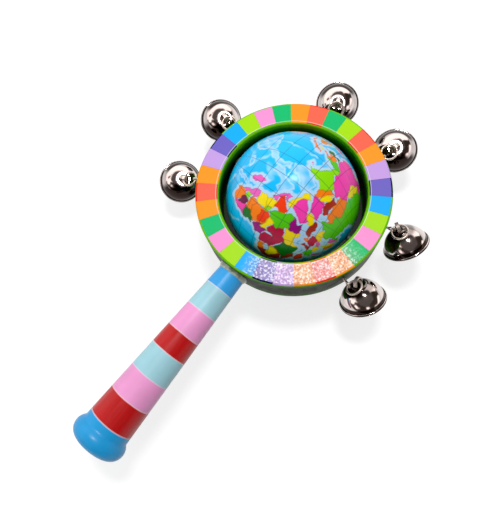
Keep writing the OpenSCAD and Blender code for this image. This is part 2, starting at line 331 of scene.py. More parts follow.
def print_film(name):
    """The segmented print, pebbled over the lower segments with a painted sheen and painted glints, and a
    painted highlight line at its inner edge.
    """
    n = Nodes(name)
    p = n.place(ring_centre)
    x, y = n.axes(p)[:2]
    reach = n.reach(x, y)
    share = n.turn_share(x, y, SEGMENT_PHASE)
    colour = constant_ramp(n, share, SEGMENTS)
    cloud = n.noise(p, 120, 3)
    grit = n.noise(p, 1050, 1)
    # Painted reflection: a pale sheen with glints and dark gaps, fading away from the lower segments.
    off = n.math("ABSOLUTE", n.math("SUBTRACT", share, SHEEN_CENTRE_SHARE))
    pebbled_sheen = n.spread(n.math("MULTIPLY_ADD", cloud, 0.02, off), *SHEEN_FADE)
    colour = n.mix(n.math("MULTIPLY", pebbled_sheen, SHEEN_SHARE), colour, linear(PAINTED_SHEEN))
    glints = n.math("MULTIPLY", n.spread(grit, 0.53, 0.64), n.math("MULTIPLY", pebbled_sheen, GLINT_SHARE))
    glint_gaps = n.math("MULTIPLY", n.spread(grit, 0.47, 0.38), n.math("MULTIPLY", pebbled_sheen, GLINT_GAP_SHARE))
    colour = n.mix(glints, colour, linear(PAINTED_GLINT))
    colour = n.mix(glint_gaps, colour, linear(GLINT_GAP))
    # Painted highlight: a pale line along the print's inner edge.
    edge_highlight = n.spread(reach, *(PRINT_IN_R + width for width in EDGE_HIGHLIGHT_WIDTHS))
    colour = n.mix(n.math("MULTIPLY", edge_highlight, EDGE_HIGHLIGHT_SHARE), colour, linear(EDGE_HIGHLIGHT))
    return n.principled(
        Base_Color=colour,
        Roughness=0.42,
        Specular_IOR_Level=0.12,
        Coat_Weight=0.06,
        Coat_Roughness=0.12,
        Normal=n.bump(grit, 0.05 * MM, n.math("MULTIPLY", pebbled_sheen, 0.4)),
    )


# Handle
def handle_paint():
    """Brushed stripes with faintly uneven edges and a thin pale line between them, under satin lacquer."""
    n = Nodes("handle_stripes")
    p = n.place()
    x = n.axes(p)[0]
    waver = n.noise(p, 140, 2)
    along = n.math("MULTIPLY_ADD", waver, 2 * EDGE_WAVER, n.math("SUBTRACT", x, EDGE_WAVER))
    colour = linear(STRIPES[0])
    line = 0.0
    for share, tint in zip(STRIPE_END_SHARES, STRIPES[1:]):
        end = share * handle_len
        colour = n.mix(n.math("GREATER_THAN", along, end), colour, linear(tint))
        off = n.math("ABSOLUTE", n.math("SUBTRACT", along, end))
        line = n.math("MAXIMUM", line, n.spread(off, *LINE_HALF_WIDTHS))
    colour = n.mix(n.math("MULTIPLY", line, LINE_SHARE), colour, linear(STRIPE_LINE))
    colour = n.mix(n.math("GREATER_THAN", x, handle_len), colour, linear(BARE_WOOD))
    grain = n.tree.nodes.new("ShaderNodeMapping")
    grain.inputs["Scale"].default_value = (0.12, 1.0, 1.0)
    n.link(p, grain.inputs["Vector"])
    streaks = n.noise(grain.outputs["Vector"], 900, 4, 0.6)
    mottle = n.noise(p, 90, 3)
    colour = n.mix(n.spread(mottle, 0.3, 0.75, 0.0, 0.08), colour, linear(HANDLE_SOIL))
    return n.principled(
        Base_Color=colour,
        Roughness=n.spread(streaks, 0.3, 0.7, 0.3, 0.46),
        Specular_IOR_Level=0.36,
        Coat_Weight=0.08,
        Coat_Roughness=0.3,
        Normal=n.bump(streaks, 0.05 * MM, 0.6),
    )


def glue():
    """Set glue: clouded, slightly clear and lumpy."""
    n = Nodes("glue")
    lumps = n.noise(n.place(), 420, 3)
    colour = n.ramp(lumps, [(0.3, linear(GLUE_DARK)), (0.7, linear(GLUE_PALE))])
    return n.principled(Base_Color=colour, Roughness=0.22, Coat_Weight=0.4, Normal=n.bump(lumps, 0.25 * MM))


# Globe
MAP_CENTRE_LONGITUDE = 66.0
LATITUDE_STEPS = 300
LONGITUDE_STEPS = 600
GRATICULE_STEP = 15.0
GRATICULE_WIDTH = 0.42
GRATICULE_SHARE = 0.48
GRATICULE_INK = (10, 50, 70)
SEAM_DEPTH = 0.12 * MM
SEAM_HALF_WIDTH = 0.5
SEA = (0, 196, 255)
DEEP_SEA = (0, 156, 240)
SHELF = (186, 220, 246)
RIDGE = (160, 224, 255)
SHALLOW = (196, 226, 250)

MAGENTA = (250, 60, 176)
MAP_YELLOW = (250, 226, 0)
MAP_GREEN = (84, 204, 8)
MAP_LIME = (142, 226, 6)
MAP_ORANGE = (255, 130, 10)
MAP_RED = (250, 60, 4)
CRIMSON = (190, 4, 60)
MAP_PURPLE = (160, 4, 130)
DARK_GREEN = (10, 116, 20)
MAROON = (110, 10, 70)
MAP_BROWN = (170, 40, 20)
MAP_PINK = (240, 96, 190)
ICE = (236, 240, 246)
BORDER_INK = (40, 40, 30)

# How strongly each tint is laid on, and the degrees over which it fades
DEEP_SHARE = 0.3
RIDGE_SHARE = 0.8
SHALLOW_SHARE = 0.6
SHALLOW_EDGE = (0.3, 1.0)
SHELF_SHARE = 0.9
SHELF_EDGE = (1.8, 3.4)
BORDER_SHARE = 0.35
BORDER_EDGE = (0.2, 0.8)

# Coarse outlines in degrees east and north, back ones first. Borders are only as
# fine as a printed toy ball shows them.
LANDS = [
    (MAP_GREEN, [
        (28, 70), (32, 62), (28, 56), (32, 52), (40, 49), (38, 47), (47, 43), (48, 46), (52, 51),
        (61, 51), (62, 54), (70, 55), (77, 54), (84, 50), (98, 50), (107, 50), (117, 49), (120, 53),
        (127, 50), (131, 43), (136, 46), (141, 53), (136, 55), (143, 59), (156, 60), (156, 52),
        (162, 56), (163, 61), (171, 60), (180, 62), (180, 69), (160, 70), (140, 73), (113, 74),
        (104, 78), (80, 72), (68, 69), (55, 69), (43, 67), (38, 64), (33, 67), (40, 67), (33, 70),
    ]),
    (MAP_ORANGE, [
        (47, 47), (52, 51), (61, 51), (62, 54), (70, 55), (77, 54), (84, 50), (87, 49), (80, 45),
        (80, 42), (71, 43), (66, 42), (60, 45), (56, 42), (52, 45), (51, 47),
    ]),
    (MAP_YELLOW, [
        (88, 49), (98, 50), (107, 50), (117, 49), (119, 46), (111, 44), (105, 42), (97, 43), (91, 46),
    ]),
    (MAGENTA, [
        (74, 39), (80, 42), (80, 45), (87, 49), (91, 46), (97, 43), (105, 42), (111, 44), (119, 47),
        (117, 49), (121, 53), (127, 50), (134, 48), (130, 43), (124, 40), (119, 39), (122, 37),
        (119, 35), (122, 30), (118, 25), (111, 21), (108, 22), (102, 22), (98, 25), (97, 28), (89, 28),
        (81, 30), (78, 34),
    ]),
    (MAP_LIME, [
        (68, 24), (71, 28), (74, 34), (78, 34), (81, 30), (88, 27), (92, 28), (97, 28), (93, 23),
        (88, 22), (83, 18), (80, 13), (77, 8), (73, 17), (72, 21),
    ]),
    (MAP_ORANGE, [(61, 25), (62, 29), (69, 33), (74, 37), (75, 34), (71, 28), (68, 24)]),
    (MAP_YELLOW, [(61, 30), (61, 35), (67, 37), (74, 38), (70, 34), (66, 30)]),
    (MAP_BROWN, [(53, 41), (58, 43), (66, 42), (71, 43), (74, 39), (67, 37), (61, 36), (54, 38)]),
    (MAGENTA, [
        (44, 39), (49, 38), (54, 37), (61, 36), (61, 31), (63, 26), (57, 26), (51, 28), (48, 31),
        (46, 34),
    ]),
    (MAP_YELLOW, [(36, 36), (42, 37), (45, 36), (46, 33), (48, 30), (44, 29), (39, 32), (36, 33)]),
    (MAGENTA, [
        (35, 29), (39, 32), (44, 29), (48, 29), (51, 25), (55, 22), (52, 18), (46, 17), (43, 17),
        (39, 21),
    ]),
    (MAP_YELLOW, [
        (43, 17), (46, 17), (52, 18), (55, 22), (56, 25), (60, 22), (55, 17), (45, 12), (43, 13),
    ]),
    (MAP_BROWN, [(27, 37), (26, 40), (34, 42), (41, 41), (44, 39), (42, 37), (36, 36), (31, 36)]),
    (MAP_GREEN, [(92, 22), (97, 28), (100, 22), (98, 16), (98, 10), (95, 16)]),
    (MAP_ORANGE, [(98, 19), (101, 20), (105, 17), (103, 12), (100, 13), (101, 7), (99, 8), (98, 14)]),
    (DARK_GREEN, [(102, 22), (107, 21), (106, 17), (109, 13), (106, 9), (103, 11), (105, 17)]),
    (MAP_YELLOW, [(100, 6), (103, 5), (104, 1), (102, 2)]),
    (MAP_ORANGE, [(95, 5), (98, 4), (104, -2), (106, -6), (102, -4), (98, 1)]),
    (MAP_ORANGE, [(106, -6), (110, -7), (115, -8), (108, -8)]),
    (MAP_ORANGE, [(109, 1), (113, 3), (117, 7), (119, 4), (117, 0), (115, -4), (110, -2)]),
    (MAP_ORANGE, [(119, 1), (125, 2), (121, -1), (123, -5), (120, -5)]),
    (MAP_PINK, [(120, 18), (122, 18), (124, 13), (126, 7), (122, 7), (120, 14)]),
    (MAP_GREEN, [(131, -1), (138, -2), (147, -6), (150, -10), (143, -9), (138, -8), (133, -4)]),
    (MAP_PINK, [(80, 9), (82, 7), (81, 6), (80, 7)]),
    (MAP_RED, [(130, 33), (132, 34), (136, 36), (140, 40), (141, 41), (141, 36), (136, 34)]),
    (MAP_RED, [(140, 42), (142, 45), (145, 43)]),
    (MAP_YELLOW, [(125, 39), (128, 42), (130, 42), (127, 38), (129, 35), (126, 34)]),
    (DARK_GREEN, [(-9, 27), (-2, 30), (-2, 35), (9, 37), (9, 31), (12, 24), (3, 19), (-5, 25)]),
    (MAP_BROWN, [(-13, 27), (-9, 32), (-6, 36), (-2, 35), (-2, 30), (-9, 27)]),
    (MAP_YELLOW, [
        (9, 37), (11, 33), (20, 30), (20, 33), (25, 32), (25, 20), (15, 23), (12, 24), (9, 31),
    ]),
    (MAP_PURPLE, [(25, 32), (34, 31), (33, 28), (37, 22), (25, 22)]),
    (MAP_GREEN, [
        (25, 22), (37, 22), (38, 18), (36, 13), (34, 9), (31, 4), (27, 5), (23, 10), (22, 14), (24, 19),
    ]),
    (CRIMSON, [
        (12, 24), (15, 23), (24, 19), (22, 14), (23, 10), (15, 8), (14, 14), (4, 12), (1, 15), (4, 18),
    ]),
    (MAP_BROWN, [
        (-17, 21), (-13, 27), (-5, 25), (3, 19), (1, 15), (-4, 14), (-6, 10), (-8, 5), (-13, 9),
        (-17, 14),
    ]),
    (MAP_YELLOW, [(-12, 18), (-5, 23), (2, 19), (1, 15), (-4, 14), (-10, 13)]),
    (MAP_ORANGE, [(-8, 5), (-6, 10), (-3, 10), (0, 11), (2, 6), (-3, 5)]),
    (CRIMSON, [(2, 6), (1, 11), (4, 12), (13, 14), (13, 9), (9, 4), (6, 4)]),
    (MAP_YELLOW, [(14, 8), (18, 8), (24, 10), (27, 5), (19, 4), (16, 2)]),
    (MAP_PURPLE, [(9, 4), (14, 8), (16, 2), (19, 4), (17, -2), (12, -5), (9, -1)]),
    (MAP_ORANGE, [
        (19, 4), (27, 5), (31, 3), (29, -3), (30, -8), (27, -12), (22, -11), (17, -7), (13, -6),
        (17, -2),
    ]),
    (MAP_RED, [(20, 3), (27, 5), (30, 2), (28, -3), (22, -4), (18, -2)]),
    (DARK_GREEN, [(12, -6), (17, -7), (22, -11), (24, -13), (22, -17), (12, -17), (14, -11)]),
    (MAP_RED, [(34, 9), (36, 14), (40, 14), (43, 10), (48, 8), (42, 4), (36, 4)]),
    (MAP_PINK, [(43, 11), (51, 12), (49, 6), (42, -1), (41, 3), (48, 8)]),
    (MAP_YELLOW, [(34, 4), (41, 4), (41, -2), (39, -5), (34, -1)]),
    (MAP_LIME, [(30, 3), (34, 4), (34, -1), (30, -1)]),
    (MAP_YELLOW, [(30, -1), (34, -1), (39, -5), (40, -10), (35, -11), (30, -8)]),
    (MAP_ORANGE, [(22, -11), (27, -12), (30, -8), (33, -10), (33, -14), (26, -18), (22, -17)]),
    (MAP_LIME, [(26, -18), (33, -16), (33, -21), (29, -22)]),
    (MAP_PINK, [
        (33, -14), (35, -11), (40, -11), (41, -15), (35, -20), (36, -24), (33, -26), (32, -22),
    ]),
    (MAGENTA, [(12, -17), (22, -17), (21, -22), (20, -28), (16, -29), (14, -22)]),
    (MAROON, [(21, -18), (26, -18), (29, -22), (26, -25), (20, -27), (20, -22)]),
    (MAP_ORANGE, [
        (16, -29), (20, -28), (26, -25), (29, -22), (32, -23), (33, -27), (30, -32), (26, -34),
        (20, -35), (18, -33),
    ]),
    (MAP_PINK, [(44, -16), (49, -12), (50, -16), (47, -25), (44, -25), (43, -21)]),
    (MAP_RED, [(-10, 37), (-9, 43), (-2, 43), (3, 42), (0, 39), (-2, 37), (-6, 36)]),
    (MAP_GREEN, [(-5, 48), (2, 51), (8, 49), (7, 44), (3, 43), (-1, 44)]),
    (MAP_BROWN, [(7, 44), (13, 47), (14, 44), (18, 41), (16, 38), (12, 42)]),
    (MAP_YELLOW, [(6, 51), (8, 54), (14, 54), (15, 51), (12, 48), (8, 48)]),
    (MAP_PINK, [(14, 54), (20, 54), (24, 51), (22, 49), (15, 51)]),
    (CRIMSON, [(13, 47), (17, 49), (22, 49), (29, 46), (28, 42), (21, 41), (19, 43), (14, 45)]),
    (MAP_ORANGE, [(20, 41), (26, 41), (23, 37), (21, 38)]),
    (MAP_YELLOW, [(22, 51), (32, 52), (38, 50), (38, 47), (32, 46), (29, 45), (24, 48)]),
    (MAP_ORANGE, [(5, 59), (6, 62), (14, 68), (24, 71), (30, 70), (20, 69), (14, 65), (11, 59)]),
    (MAP_YELLOW, [(11, 59), (14, 65), (20, 69), (24, 66), (17, 62), (18, 59), (14, 56)]),
    (MAP_PINK, [(21, 60), (22, 64), (25, 66), (24, 69), (29, 69), (31, 63), (28, 60)]),
    (MAP_PINK, [(-5, 50), (-3, 54), (-5, 58), (-2, 58), (1, 53), (1, 51)]),
    (MAP_GREEN, [(-10, 52), (-8, 55), (-6, 54), (-6, 52)]),
    (MAP_YELLOW, [(-24, 65), (-18, 66), (-14, 65), (-18, 63)]),
    (ICE, [(-55, 60), (-45, 60), (-22, 70), (-18, 80), (-35, 83), (-60, 82), (-70, 78), (-54, 70)]),
    (MAP_YELLOW, [
        (-141, 60), (-141, 69), (-115, 72), (-82, 73), (-75, 67), (-94, 58), (-82, 55), (-79, 62),
        (-64, 60), (-56, 52), (-65, 45), (-75, 45), (-83, 43), (-95, 49), (-123, 49), (-130, 54),
    ]),
    (MAP_ORANGE, [
        (-166, 68), (-156, 71), (-141, 69), (-141, 60), (-152, 59), (-163, 55), (-160, 59), (-166, 63),
    ]),
    (MAP_PINK, [
        (-123, 49), (-95, 49), (-83, 43), (-75, 45), (-67, 45), (-74, 40), (-76, 35), (-81, 31),
        (-80, 25), (-84, 30), (-97, 26), (-106, 32), (-117, 32), (-124, 40),
    ]),
    (MAP_GREEN, [
        (-117, 32), (-106, 32), (-97, 26), (-97, 20), (-91, 19), (-88, 21), (-88, 16), (-96, 16),
        (-105, 20), (-112, 30),
    ]),
    (MAP_ORANGE, [(-92, 15), (-83, 15), (-83, 10), (-78, 9), (-84, 8), (-90, 14)]),
    (MAP_LIME, [
        (-70, 2), (-60, 5), (-50, 2), (-35, -6), (-39, -16), (-48, -27), (-53, -33), (-57, -29),
        (-58, -20), (-70, -10), (-73, -6),
    ]),
    (MAP_RED, [(-79, 1), (-77, 8), (-72, 12), (-62, 10), (-60, 5), (-70, 2), (-75, 0)]),
    (MAP_YELLOW, [(-79, 1), (-75, 0), (-73, -6), (-70, -10), (-70, -18), (-76, -14), (-81, -5)]),
    (MAGENTA, [(-70, -10), (-58, -20), (-57, -24), (-67, -23), (-70, -18)]),
    (MAP_PINK, [
        (-67, -23), (-57, -25), (-54, -26), (-58, -34), (-62, -39), (-67, -46), (-69, -52), (-72, -46),
        (-70, -33),
    ]),
    (MAP_BROWN, [
        (-70, -18), (-67, -23), (-70, -33), (-72, -46), (-69, -53), (-75, -50), (-73, -37), (-71, -27),
    ]),
    (MAP_ORANGE, [
        (114, -22), (122, -18), (130, -12), (136, -12), (139, -17), (142, -11), (146, -19), (153, -26),
        (150, -37), (140, -38), (131, -32), (124, -33), (115, -34),
    ]),
    (MAP_LIME, [(173, -35), (178, -38), (173, -43), (167, -46), (172, -41)]),
    (ICE, [
        (-180, -90), (-180, -76), (-100, -73), (-62, -66), (-60, -76), (-20, -72), (50, -67),
        (140, -67), (180, -76), (180, -90),
    ]),
]

# Pale undersea ridges, each a line in degrees east and north with its width
RIDGES = [
    (2.2, [
        (57, 20), (66, 8), (68, -6), (70, -24), (58, -32), (42, -44), (20, -52), (0, -54), (-12, -44),
    ]),
    (2.0, [(70, -24), (78, -34), (96, -46), (120, -50), (140, -54), (170, -62)]),
    (1.6, [(88, 8), (88, -10), (89, -30)]),
    (3.2, [(60, -4), (57, -10), (60, -19), (52, -10)]),
    (2.4, [(64, -40), (72, -50), (80, -56)]),
    (1.8, [
        (-15, 60), (-32, 52), (-28, 40), (-42, 28), (-44, 14), (-24, 0), (-13, -12), (-14, -34),
        (-12, -44),
    ]),
    (1.8, [(3, -18), (-4, -30), (-10, -36)]),
    (2.6, [(32, -36), (36, -42), (30, -50)]),
    (1.8, [(-112, 20), (-106, 4), (-112, -20), (-114, -40), (-140, -56), (-175, -63)]),
    (1.6, [(142, 34), (144, 18), (136, 8)]),
    (1.6, [(178, -30), (176, -18), (168, -12)]),
]

# Pale undersea plateaus, as outlines in degrees east and north
SHALLOWS = [
    [
        (86, -52), (89, -46), (92, -38), (99, -32), (91, -27), (83, -26), (77, -24), (75, -29),
        (72, -34), (74, -43),
    ],
    [
        (74, -26), (76, -22), (70, -17), (69, -9), (71, -4), (67, -4), (65, -8), (65, -12), (66, -17),
        (68, -22),
    ],
    [
        (65, -12), (63, -6), (60, -1), (58, 4), (55, 9), (52, 7), (48, 1), (50, -3), (55, -2), (57, -6),
        (60, -12),
    ],
    [
        (72, -2), (74, 4), (75, 9), (71, 16), (67, 20), (62, 20), (58, 17), (59, 13), (63, 9), (66, 4),
        (68, 0),
    ],
    [(80, 11), (86, 14), (92, 15), (93, 18), (88, 20), (82, 16)],
    [(40, -46), (44, -43), (41, -33), (40, -26), (37, -25), (38, -34)],
    [(53, -38), (62, -40), (64, -37), (58, -34), (51, -35)],
    [(104, -40), (112, -46), (118, -44), (112, -38)],
]


def inside(outline, longitude, latitude):
    """Which points lie inside an outline."""
    hit = np.zeros(longitude.shape, bool)
    points = np.array(outline, float)
    for (ax, ay), (bx, by) in zip(points, np.roll(points, -1, axis=0)):
        if ay == by:
            continue
        crosses = (ay > latitude) != (by > latitude)
        at = ax + (latitude - ay) / (by - ay) * (bx - ax)
        hit ^= crosses & (longitude < at)
    return hit


def distance_to(line, longitude, latitude, closed):
    """Degrees from each point to a line, near enough for a band along a coast."""
    points = np.array(line, float)
    ends = np.roll(points, -1, axis=0)
    if not closed:
        points, ends = points[:-1], ends[:-1]
    narrowing = np.cos(np.radians(latitude))
    best = np.full(longitude.shape, 1e3)
    for (ax, ay), (bx, by) in zip(points, ends):
        px, py = (longitude - ax) * narrowing, latitude - ay
        ex, ey = (bx - ax) * narrowing, by - ay
        along = np.clip((px * ex + py * ey) / np.maximum(ex * ex + ey * ey, 1e-9), 0, 1)
        best = np.minimum(best, np.hypot(px - along * ex, py - along * ey))
    return best


def smooth_step(value, low, high):
    """0 below low, 1 above high, and a smooth rise between them."""
    share = np.clip((value - low) / (high - low), 0, 1)
    return share * share * (3 - 2 * share)


def wobble(longitude, latitude):
    """A fixed waviness in degrees, so that straight outline edges read as coasts."""
    east = 0.7 * np.sin(latitude / 2.1 + 1.3) + 0.45 * np.sin(latitude / 0.9 + longitude / 3.7)
    north = 0.6 * np.sin(longitude / 2.3 + 0.4) + 0.4 * np.sin(longitude / 1.1 - latitude / 2.9)
    return longitude + east, latitude + north


def blend(under, over, share):
    """Lays a screen colour over linear ones by a share for each point."""
    return under + (np.array(linear(over)) - under) * share[..., None]


def map_colours(longitude, latitude):
    """The map's colour at each point, as linear RGBA."""
    east, north = wobble(longitude, latitude)
    colours = np.empty(longitude.shape + (4,))
    colours[:] = linear(SEA)
    depths = 0.5 + 0.5 * np.sin(longitude / 17 + 2) * np.sin(latitude / 13)
    colours = blend(colours, DEEP_SEA, DEEP_SHARE * depths)
    for width, line in RIDGES:
        away = distance_to(line, east, north, False)
        patchy = 0.55 + 0.45 * np.sin(longitude / 2.7) * np.sin(latitude / 3.3)
        faded = 1 - smooth_step(away, width * 0.3, width)
        colours = blend(colours, RIDGE, RIDGE_SHARE * patchy * faded)
    for outline in SHALLOWS:
        patchy = 0.6 + 0.4 * np.sin(longitude / 1.6 + 1) * np.sin(latitude / 2.1)
        edge = distance_to(outline, east, north, True)
        within = inside(outline, east, north)
        colours = blend(colours, SHALLOW, SHALLOW_SHARE * patchy * within)
        colours = blend(colours, SHALLOW, SHALLOW_SHARE * (1 - smooth_step(edge, *SHALLOW_EDGE)))
    coast = np.full(longitude.shape, 1e3)
    for _, outline in LANDS:
        coast = np.minimum(coast, distance_to(outline, east, north, True))
    colours = blend(colours, SHELF, SHELF_SHARE * (1 - smooth_step(coast, *SHELF_EDGE)))
    for tint, outline in LANDS:
        land = inside(outline, east, north)
        colours[land] = linear(tint)
        border = distance_to(outline, east, north, True)
        inked = land * (1 - smooth_step(border, *BORDER_EDGE))
        colours = blend(colours, BORDER_INK, BORDER_SHARE * inked)
    return colours


def globe_ball():
    """The printed ball: one closed skin with a shallow seam at the equator."""
    latitudes = np.linspace(-90, 90, LATITUDE_STEPS + 1)[1:-1]
    longitudes = np.linspace(-180, 180, LONGITUDE_STEPS, endpoint=False)
    seam = SEAM_DEPTH * np.exp(-(latitudes / SEAM_HALF_WIDTH) ** 2)
    radius = (globe_r - seam)[:, None]
    phi, lam = np.meshgrid(np.radians(latitudes), np.radians(longitudes), indexing="ij")
    turn = lam - math.radians(MAP_CENTRE_LONGITUDE)
    east = radius * np.cos(phi) * np.sin(turn)
    south_way = -radius * np.sin(phi)
    up = radius * np.cos(phi) * np.cos(turn)
    points = np.stack([east, south_way, up], axis=-1).reshape(-1, 3)
    points = np.vstack([points, [[0, globe_r, 0]], [[0, -globe_r, 0]]]) + np.array(ring_centre)
    rows, cols = len(latitudes), LONGITUDE_STEPS
    south, north = rows * cols, rows * cols + 1
    faces = []
    for i in range(rows - 1):
        for j in range(cols):
            k = (j + 1) % cols
            faces.append((i * cols + j, (i + 1) * cols + j, (i + 1) * cols + k, i * cols + k))
    last = (rows - 1) * cols
    for j in range(cols):
        k = (j + 1) % cols
        faces.append((south, j, k))
        faces.append((north, last + k, last + j))
    mesh = bpy.data.meshes.new("globe_ball")
    mesh.from_pydata(points.tolist(), [], faces)
    mesh.update()
    degrees_east, degrees_north = np.meshgrid(longitudes, latitudes)
    colours = map_colours(degrees_east, degrees_north).reshape(-1, 4)
    colours = np.vstack([colours, [linear(ICE)], [linear(SEA)]])
    layer = mesh.color_attributes.new("map", "FLOAT_COLOR", "POINT")
    layer.data.foreach_set("color", colours.ravel())
    mesh.polygons.foreach_set("use_smooth", [True] * len(mesh.polygons))
    ball = bpy.data.objects.new("globe_ball", mesh)
    bpy.context.scene.collection.objects.link(ball)
    mesh.materials.append(globe_print())
    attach(ball, "globe")
    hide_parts("globe_north_half", "globe_south_half")


def grid_line(nodes, degrees, step, width):
    """1 on thin lines every so many degrees, and 0 between them."""
    share = nodes.math("DIVIDE", degrees, step)
    near = nodes.math("ABSOLUTE", nodes.math("SUBTRACT", share, nodes.math("ROUND", share)))
    return nodes.math("SUBTRACT", 1.0, nodes.spread(nodes.math("MULTIPLY", near, step), width * 0.5, width))


def globe_print():
    """The map's colours with a thin dark graticule under gloss lacquer."""
    n = Nodes("globe_print")
    p = n.place(ring_centre)
    x, y, z = n.axes(p)
    colour = n.tree.nodes.new("ShaderNodeVertexColor")
    colour.layer_name = "map"
    latitude = n.math("DEGREES", n.math("ARCSINE", n.math("DIVIDE", y, -globe_r)))
    longitude = n.math("DEGREES", n.math("ARCTAN2", x, z))
    longitude = n.math("ADD", longitude, MAP_CENTRE_LONGITUDE)
    lines = n.math(
        "MAXIMUM",
        grid_line(n, latitude, GRATICULE_STEP, GRATICULE_WIDTH),
        grid_line(n, longitude, GRATICULE_STEP, GRATICULE_WIDTH),
    )
    ink = n.math("MULTIPLY", lines, GRATICULE_SHARE)
    inked = n.mix(ink, colour.outputs["Color"], linear(GRATICULE_INK))
    peel = n.noise(p, 700, 2)
    return n.principled(
        Base_Color=inked,
        Roughness=0.3,
        Specular_IOR_Level=0.06,
        Coat_Weight=0.4,
        Coat_Roughness=0.22,
        Normal=n.bump(peel, 0.03 * MM, 0.4),
    )


# Metal and small parts. The colours are 0 to 255 screen values.
# The bells' dark tint is both random tarnishing and their painted shade and painted reflections.
BELL_TINT = (222, 210, 206)
BELL_TARNISH_AND_SHADE = (50, 38, 34)
BELL_ROUGHNESS = 0.09
WIRE_TINT = (226, 214, 204)
WIRE_TARNISH = (120, 104, 94)
WIRE_ROUGHNESS = 0.44
# The axle's dark tint is painted shade.
AXLE_STEEL = (205, 205, 208)
AXLE_SHADE = (58, 62, 54)
CLAPPER_STEEL = (170, 168, 166)
WHITE_NYLON = (230, 230, 222)
DARK_NYLON = (52, 70, 52)


def nickel(name, tint, shade, roughness, painted_shade_layer=None):
    """Nickel plate, darker in random tarnished patches and, where a layer is named, by that layer's painted
    shade and painted reflections, with fine handling marks.
    """
    n = Nodes(name)
    p = n.place()
    cloud = n.noise(p, 180, 4)
    marks = n.noise(p, 2600, 3)
    if painted_shade_layer:
        # The named layer holds the bells' painted shade and painted reflections.
        wear_and_shade = n.tree.nodes.new("ShaderNodeAttribute")
        wear_and_shade.attribute_name = painted_shade_layer
        dark = n.math("MULTIPLY_ADD", cloud, 0.3, n.math("SUBTRACT", wear_and_shade.outputs["Fac"], 0.15))
    else:
        dark = n.math("MULTIPLY", cloud, 0.5)
    colour = n.mix(n.spread(dark, 0.05, 0.85), linear(tint), linear(shade))
    return n.principled(
        Base_Color=colour,
        Metallic=1.0,
        Roughness=n.spread(cloud, 0.2, 0.8, roughness * 0.6, roughness * 1.4),
        Normal=n.bump(marks, 0.004 * MM, 0.3, n.bump(cloud, 0.12 * MM, 0.25)),
    )


def plain(name, rgb, roughness, metallic, scale):
    """A small part's finish: slightly mottled, with fine moulding or drawing marks."""
    n = Nodes(name)
    marks = n.noise(n.place(), scale, 3)
    darker = linear(tuple(v * 0.86 for v in rgb))
    colour = n.ramp(marks, [(0.3, darker), (0.7, linear(rgb))])
    worked = n.bump(marks, 0.02 * MM, 0.4)
    return n.principled(Base_Color=colour, Metallic=metallic, Roughness=roughness, Normal=worked)


def axle_steel():
    """Drawn steel wire, darkened toward the north end as painted shade."""
    n = Nodes("axle_steel")
    p = n.place(ring_centre)
    y = n.axes(p)[1]
    marks = n.noise(p, 1400, 3)
    # Painted shade toward the north end, where the wire would otherwise show a bright reflection.
    north_shade = n.spread(n.math("MULTIPLY_ADD", marks, 4 * MM, y), 0.0, -30 * MM)
    colour = n.mix(north_shade, linear(AXLE_STEEL), linear(AXLE_SHADE))
    roughness = n.spread(north_shade, 0.0, 1.0, 0.28, 0.5)
    drawn = n.bump(marks, 0.02 * MM, 0.4)
    return n.principled(Base_Color=colour, Metallic=1.0, Roughness=roughness, Normal=drawn)


def bell_place(number):
    """The bell's own frame: its wire at the origin, +Z to the mouth, X along the bail's bar."""
    hook = Vector(joints[f"bell_swing_{number}"]["pos_m"])
    bar = Vector(joints[f"clapper_swing_{number}"]["pos_m"])
    along = (bar - hook).normalized()
    across = Vector(joints[f"clapper_swing_{number}"]["axis"]).normalized()
    side = along.cross(across)
    turn = Matrix((across, side, along)).transposed().to_4x4()
    return Matrix.Translation(hook) @ turn


# The bell's turned outline, with heights from the wire that it hangs on
CROWN_Z = 2.35 * MM
SHOULDER_R = 3.8 * MM
SHOULDER_H = 0.35 * MM
DOME_R = 11.45 * MM
SHOULDER_EDGE = 0.15 * MM
WALL = 0.6 * MM
BEAD_R = 0.75 * MM
MOUTH_Z = CROWN_Z + SHOULDER_H + DOME_R
LATHE_STEPS = 96


def arc(centre, radius, start, end, steps):
    """Points of a circle in the outline's plane, as distance from the axis and height."""
    out = []
    for k in range(steps + 1):
        a = math.radians(start + (end - start) * k / steps)
        out.append((centre[0] + radius * math.cos(a), centre[1] + radius * math.sin(a)))
    return out


def bell_outline():
    """Crown to lip on the outside, round the rolled lip, and back up the inside."""
    centre = (0.0, MOUTH_Z)
    meet = math.degrees(math.asin(SHOULDER_R / DOME_R))
    outline = [(0.0, CROWN_Z), (SHOULDER_R - SHOULDER_EDGE, CROWN_Z)]
    outline += arc((SHOULDER_R - SHOULDER_EDGE, CROWN_Z + SHOULDER_EDGE), SHOULDER_EDGE, -90, 0, 4)
    outline += arc(centre, DOME_R, -90 + meet + 1.5, -6, 30)
    outline += arc((DOME_R, MOUTH_Z - BEAD_R), BEAD_R, -70, 150, 16)
    outline += arc(centre, DOME_R - WALL, -1.5, -89, 30)
    outline.append((0.0, MOUTH_Z - DOME_R + WALL))
    return outline


